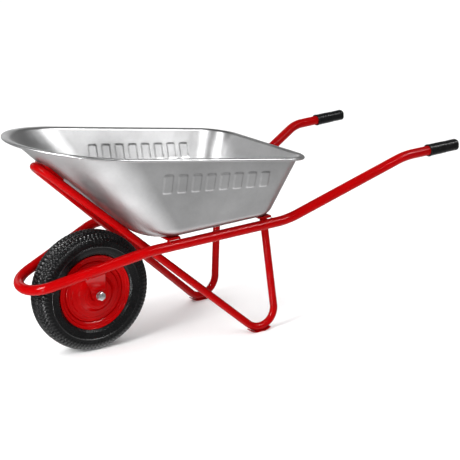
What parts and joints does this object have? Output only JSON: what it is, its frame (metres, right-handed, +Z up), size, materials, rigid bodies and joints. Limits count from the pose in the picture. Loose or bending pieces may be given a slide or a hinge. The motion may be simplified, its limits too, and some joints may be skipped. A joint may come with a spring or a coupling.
{
  "type": "wheelbarrow",
  "caption": "Builder's wheelbarrow: bent tube frame with braced legs, deep pressed steel tray with a rolled rim, and a pneumatic front wheel that turns on ball bearings.",
  "frame": {"origin": "on the ground, at the middle of the whole barrow's footprint box", "axes": "+X from the wheel to the handles, +Y to the barrow's right, +Z up from the ground"},
  "size_m": [1.4992, 0.6628, 0.7006],
  "materials": {
    "red_paint": "gloss red paint on steel tube and pressings",
    "galvanised_sheet": "smooth galvanised sheet, satin, softly mottled",
    "tyre_rubber": "matt black moulded rubber",
    "soft_rubber": "matt black rubber",
    "zinc_plate": "bright zinc plate",
    "bearing_steel": "ground bearing steel",
    "grip_plastic": "matt black moulded plastic"
  },
  "bodies": {
    "frame": {"main_frame_tube": "red_paint", "leg_brace_tube": "red_paint", "left_skid_plate": "red_paint", "right_skid_plate": "red_paint", "tray": "galvanised_sheet", "front_cross_member": "red_paint", "rear_cross_member": "red_paint", "brace_plate": "red_paint", "left_axle_bracket": "red_paint", "right_axle_bracket": "red_paint", "axle_bolt": "zinc_plate", "axle_nut": "zinc_plate", "centre_spacer": "zinc_plate", "left_axle_washer": "zinc_plate", "right_axle_washer": "zinc_plate", "left_axle_spacer": "zinc_plate", "right_axle_spacer": "zinc_plate", "left_bearing_inner_ring": "bearing_steel", "right_bearing_inner_ring": "bearing_steel", "left_grip": "grip_plastic", "right_grip": "grip_plastic", "front_left_tray_bolt": "zinc_plate", "front_left_tray_washer": "zinc_plate", "front_left_tray_nut": "zinc_plate", "front_right_tray_bolt": "zinc_plate", "front_right_tray_washer": "zinc_plate", "front_right_tray_nut": "zinc_plate", "rear_left_tray_bolt": "zinc_plate", "rear_left_tray_washer": "zinc_plate", "rear_left_tray_nut": "zinc_plate", "rear_right_tray_bolt": "zinc_plate", "rear_right_tray_washer": "zinc_plate", "rear_right_tray_nut": "zinc_plate", "left_brace_bolt": "zinc_plate", "left_brace_washer": "zinc_plate", "left_brace_nut": "zinc_plate", "right_brace_bolt": "zinc_plate", "right_brace_washer": "zinc_plate", "right_brace_nut": "zinc_plate"},
    "wheel": {"tyre": "tyre_rubber", "inner_tube": "soft_rubber", "wheel_rim": "red_paint", "left_wheel_disc": "red_paint", "right_wheel_disc": "red_paint", "hub_tube": "red_paint", "left_bearing_outer_ring": "bearing_steel", "right_bearing_outer_ring": "bearing_steel", "left_bearing_seal": "soft_rubber", "right_bearing_seal": "soft_rubber", "valve_stem": "soft_rubber", "valve_cap": "soft_rubber"},
    "left_cage": {"left_ball_cage": "bearing_steel"},
    "right_cage": {"right_ball_cage": "bearing_steel"}
  },
  "joints": [
    {"name": "wheel_spin", "type": "hinge", "parent": "frame", "child": "wheel", "pos_m": [-0.5036, 0, 0.19406], "axis": [0, 1, 0], "continuous": true},
    {"name": "left_cage_spin", "type": "hinge", "parent": "frame", "child": "left_cage", "pos_m": [-0.5036, -0.0505, 0.19406], "axis": [0, 1, 0], "continuous": true},
    {"name": "right_cage_spin", "type": "hinge", "parent": "frame", "child": "right_cage", "pos_m": [-0.5036, 0.0505, 0.19406], "axis": [0, 1, 0], "continuous": true}
  ],
  "couplings": [
    {"joint": "left_cage_spin", "follows": "wheel_spin", "ratio": 0.6127},
    {"joint": "right_cage_spin", "follows": "wheel_spin", "ratio": 0.6127}
  ]
}
